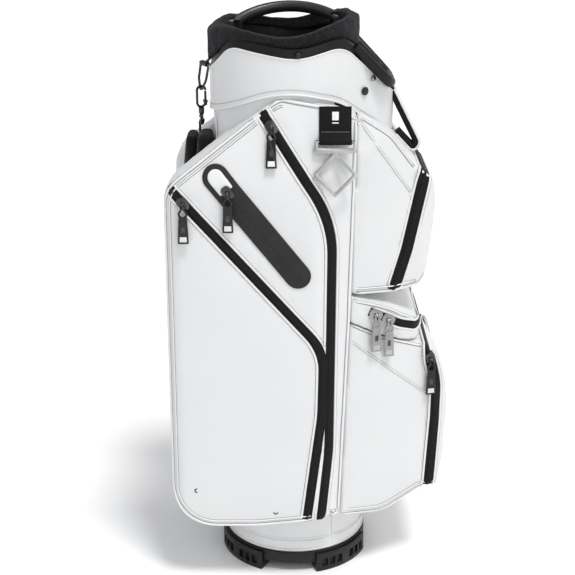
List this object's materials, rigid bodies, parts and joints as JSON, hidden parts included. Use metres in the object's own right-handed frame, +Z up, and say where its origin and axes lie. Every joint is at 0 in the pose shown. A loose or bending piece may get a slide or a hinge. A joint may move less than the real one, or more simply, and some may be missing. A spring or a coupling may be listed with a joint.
{
  "type": "golf cart bag",
  "caption": "Upright cart bag with moulded base, padded club mouth with dividers, grips, zipped side and front pockets, towel ring and clip-on shoulder strap.",
  "frame": {"origin": "on the ground, under the middle of the bag's bounding box", "axes": "+Z up; +X to the bag's front, where the ball pocket is; +Y to the far clothing pocket"},
  "size_m": [0.464, 0.3454, 0.9426],
  "materials": {
    "white_leather": "satin",
    "moulded_black": "satin",
    "moulded_charcoal": "satin",
    "fleece": "matte",
    "black_webbing": "matte",
    "black_padding": "matte",
    "zip_tape": "matte",
    "rubber_patch": "matte",
    "gunmetal": "polished",
    "black_gloss": "gloss",
    "satin_metal": "satin",
    "fibre_rod": "satin",
    "black_lining": "matte"
  },
  "bodies": {
    "bag": {"back_pad": "black_padding", "ball_pocket": "white_leather", "ball_tape": "zip_tape", "base_feet": "moulded_black", "base_ring": "moulded_black", "body_tube": "white_leather", "cuff": "white_leather", "cuff_studs": "satin_metal", "divider_bars": "moulded_black", "divider_rim": "moulded_black", "divider_sleeves": "black_lining", "drain_eyelets": "gunmetal", "far_clothing_pocket": "white_leather", "far_diagonal_tape": "zip_tape", "far_main_tape": "zip_tape", "front_handle": "moulded_charcoal", "lift_loop": "white_leather", "near_clothing_pocket": "white_leather", "near_diagonal_tape": "zip_tape", "near_main_tape": "zip_tape", "ring_padding": "fleece", "snap_hook": "gunmetal", "stay_rods": "fibre_rod", "strap_anchor": "black_webbing", "strap_buckle": "black_gloss", "strap_d_ring": "gunmetal", "strap_foot_patch": "white_leather", "strap_pad": "black_padding", "strap_top_webbing": "black_webbing", "strap_webbing": "black_webbing", "swivel_eye": "gunmetal", "top_handle": "moulded_charcoal", "top_ring": "moulded_charcoal", "towel_tab": "black_webbing", "upper_pocket": "white_leather", "upper_tape": "zip_tape", "valuables_pocket": "white_leather", "valuables_tape": "zip_tape", "welded_zip_patch": "rubber_patch"},
    "near_main_slider": {"near_main_slider": "gunmetal"},
    "near_main_puller": {"near_main_puller": "black_gloss"},
    "far_main_slider": {"far_main_slider": "gunmetal"},
    "far_main_puller": {"far_main_puller": "black_gloss"},
    "near_diagonal_slider": {"near_diagonal_slider": "gunmetal"},
    "near_diagonal_puller": {"near_diagonal_puller": "black_gloss"},
    "far_diagonal_slider": {"far_diagonal_slider": "gunmetal"},
    "far_diagonal_puller": {"far_diagonal_puller": "black_gloss"},
    "patch_slider": {"patch_slider": "gunmetal"},
    "patch_puller": {"patch_puller": "black_gloss"},
    "upper_slider": {"upper_slider": "gunmetal"},
    "upper_puller": {"upper_puller": "black_gloss"},
    "valuables_rear_slider": {"valuables_rear_slider": "gunmetal"},
    "valuables_rear_puller": {"valuables_rear_puller": "black_gloss"},
    "valuables_front_slider": {"valuables_front_slider": "gunmetal"},
    "valuables_front_puller": {"valuables_front_puller": "black_gloss"},
    "ball_slider": {"ball_slider": "gunmetal"},
    "ball_puller": {"ball_puller": "black_gloss"},
    "towel_ring": {"towel_ring": "satin_metal"},
    "snap_gate": {"snap_gate": "gunmetal"}
  },
  "joints": [
    {"name": "near_main_zip", "type": "slide", "parent": "bag", "child": "near_main_slider", "axis": [0.5382, -0.216, -0.8147], "range_m": [0, 0.075]},
    {"name": "near_main_pull", "type": "hinge", "parent": "near_main_slider", "child": "near_main_puller", "pos_m": [-0.06512, -0.14775, 0.78288], "axis": [-1, 0, 0], "range_deg": [0, 170]},
    {"name": "far_main_zip", "type": "slide", "parent": "bag", "child": "far_main_slider", "axis": [0.5382, 0.216, -0.8147], "range_m": [0, 0.075]},
    {"name": "far_main_pull", "type": "hinge", "parent": "far_main_slider", "child": "far_main_puller", "pos_m": [-0.06512, 0.14775, 0.78288], "axis": [1, 0, 0], "range_deg": [0, 170]},
    {"name": "near_diagonal_zip", "type": "slide", "parent": "bag", "child": "near_diagonal_slider", "axis": [0.6662, 0, -0.7457], "range_m": [0, 0.2]},
    {"name": "near_diagonal_pull", "type": "hinge", "parent": "near_diagonal_slider", "child": "near_diagonal_puller", "pos_m": [-0.20068, -0.1694, 0.66766], "axis": [-1, 0, 0], "range_deg": [0, 170]},
    {"name": "far_diagonal_zip", "type": "slide", "parent": "bag", "child": "far_diagonal_slider", "axis": [0.6662, 0, -0.7457], "range_m": [0, 0.2]},
    {"name": "far_diagonal_pull", "type": "hinge", "parent": "far_diagonal_slider", "child": "far_diagonal_puller", "pos_m": [-0.20068, 0.1694, 0.66766], "axis": [1, 0, 0], "range_deg": [0, 170]},
    {"name": "patch_zip", "type": "slide", "parent": "bag", "child": "patch_slider", "axis": [0.6235, 0, -0.7818], "range_m": [0, 0.135]},
    {"name": "patch_pull", "type": "hinge", "parent": "patch_slider", "child": "patch_puller", "pos_m": [-0.13192, -0.17, 0.68533], "axis": [-1, 0, 0], "range_deg": [0, 170]},
    {"name": "upper_zip", "type": "slide", "parent": "bag", "child": "upper_slider", "axis": [-0.2023, 0.0517, -0.9779], "range_m": [0, 0.09]},
    {"name": "upper_pull", "type": "hinge", "parent": "upper_slider", "child": "upper_puller", "pos_m": [0.17268, 0.09811, 0.67037], "axis": [0.9688, -0.2477, 0], "range_deg": [0, 170]},
    {"name": "valuables_rear_zip", "type": "slide", "parent": "bag", "child": "valuables_rear_slider", "axis": [0.8753, 0.2229, -0.4292], "range_m": [-0.008, 0]},
    {"name": "valuables_rear_pull", "type": "hinge", "parent": "valuables_rear_slider", "child": "valuables_rear_puller", "pos_m": [0.10309, -0.12799, 0.47272], "axis": [-0.9691, -0.2468, 0], "range_deg": [0, 170]},
    {"name": "valuables_front_zip", "type": "slide", "parent": "bag", "child": "valuables_front_slider", "axis": [0.8753, 0.2229, -0.4292], "range_m": [0, 0.016]},
    {"name": "valuables_front_pull", "type": "hinge", "parent": "valuables_front_slider", "child": "valuables_front_puller", "pos_m": [0.12374, -0.12273, 0.46259], "axis": [-0.9691, -0.2468, 0], "range_deg": [0, 170]},
    {"name": "ball_zip", "type": "slide", "parent": "bag", "child": "ball_slider", "axis": [0.2421, 0.0623, -0.9683], "range_m": [0, 0.03]},
    {"name": "ball_pull", "type": "hinge", "parent": "ball_slider", "child": "ball_puller", "pos_m": [0.1968, -0.10065, 0.38518], "axis": [-0.9685, -0.2492, 0], "range_deg": [0, 170]},
    {"name": "towel_ring_swing", "type": "hinge", "parent": "bag", "child": "towel_ring", "pos_m": [0.032, -0.1535, 0.762], "axis": [-1, 0, 0], "range_deg": [0, 150]},
    {"name": "snap_gate_spring", "type": "hinge", "parent": "bag", "child": "snap_gate", "pos_m": [-0.17527, 0.03585, 0.78743], "axis": [0.5, -0.866, 0], "range_deg": [0, 22], "stiffness_Nm_per_rad": 0.02, "springref_deg": -8.59}
  ]
}
